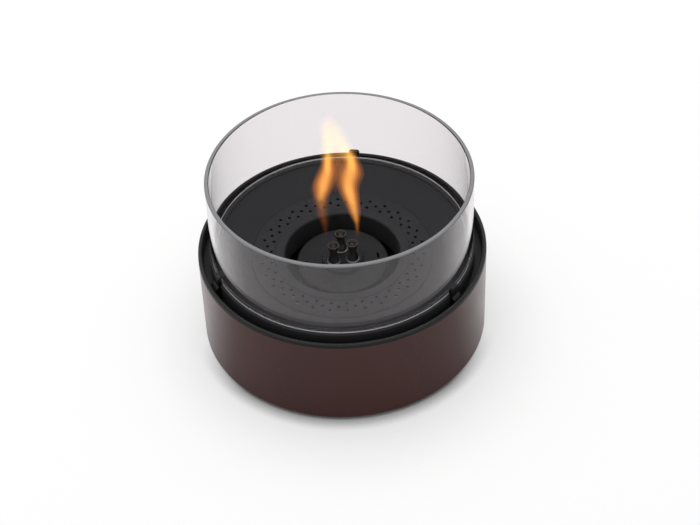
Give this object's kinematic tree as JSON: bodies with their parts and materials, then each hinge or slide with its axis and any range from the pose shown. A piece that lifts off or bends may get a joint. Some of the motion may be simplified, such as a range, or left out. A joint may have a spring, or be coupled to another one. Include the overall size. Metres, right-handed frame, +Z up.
{
  "type": "tabletop fire bowl",
  "caption": "Round tabletop liquid-fuel burner: lacquered base with a black liner pan, perforated lift-out tray, fuel can with flared wick nozzles and a lift-off glass wind cylinder.",
  "frame": {"origin": "centre of the footprint, on the table under the foot pads", "axes": "+Z up along the glass cylinder's axis, -Y towards the viewer in the picture, +X to the right"},
  "size_m": [0.2, 0.2, 0.134],
  "materials": {
    "shell_lacquer": "satin brown lacquer",
    "pan_enamel": "semi-gloss black enamel",
    "tray_powder_coat": "matte black powder coat",
    "clip_black": "satin black",
    "can_black": "satin black heat-proof paint",
    "clear_glass": "clear, ground edges",
    "zinc_steel": "zinc plated",
    "nozzle_steel": "heat-darkened steel",
    "fibre_board": "matte fibre board",
    "pad_rubber": "matte",
    "gasket_rubber": "matte",
    "wick_fibre": "braided glass fibre"
  },
  "bodies": {
    "base": {"base_shell": "shell_lacquer", "base_plate": "zinc_steel", "base_screws": "zinc_steel", "foot_pad_1": "pad_rubber", "foot_pad_2": "pad_rubber", "foot_pad_3": "pad_rubber", "foot_pad_4": "pad_rubber", "liner_pan": "pan_enamel", "insulation_disc": "fibre_board", "can_seat_ring": "zinc_steel", "pan_screws": "zinc_steel", "pan_nuts": "zinc_steel"},
    "tray": {"burner_tray": "tray_powder_coat", "glass_clip_1": "clip_black", "glass_clip_2": "clip_black", "glass_clip_3": "clip_black", "clip_rivets": "zinc_steel"},
    "glass": {"glass_cylinder": "clear_glass"},
    "burner_can": {"fuel_can": "can_black", "can_lid": "can_black"},
    "wick_holder": {"wick_plug": "can_black", "plug_gasket": "gasket_rubber", "nozzle_nuts": "zinc_steel", "wick_nozzle_1": "nozzle_steel", "wick_nozzle_2": "nozzle_steel", "wick_nozzle_3": "nozzle_steel", "wick_1": "wick_fibre", "wick_2": "wick_fibre", "wick_3": "wick_fibre"}
  },
  "joints": [
    {"name": "tray_lift", "type": "slide", "parent": "base", "child": "tray", "axis": [0, 0, 1], "range_m": [0, 0.06]},
    {"name": "glass_lift", "type": "slide", "parent": "tray", "child": "glass", "axis": [0, 0, 1], "range_m": [0, 0.08]},
    {"name": "can_lift", "type": "slide", "parent": "base", "child": "burner_can", "axis": [0, 0, 1], "range_m": [0, 0.125]},
    {"name": "wick_holder_lift", "type": "slide", "parent": "burner_can", "child": "wick_holder", "axis": [0, 0, 1], "range_m": [0, 0.125]}
  ]
}
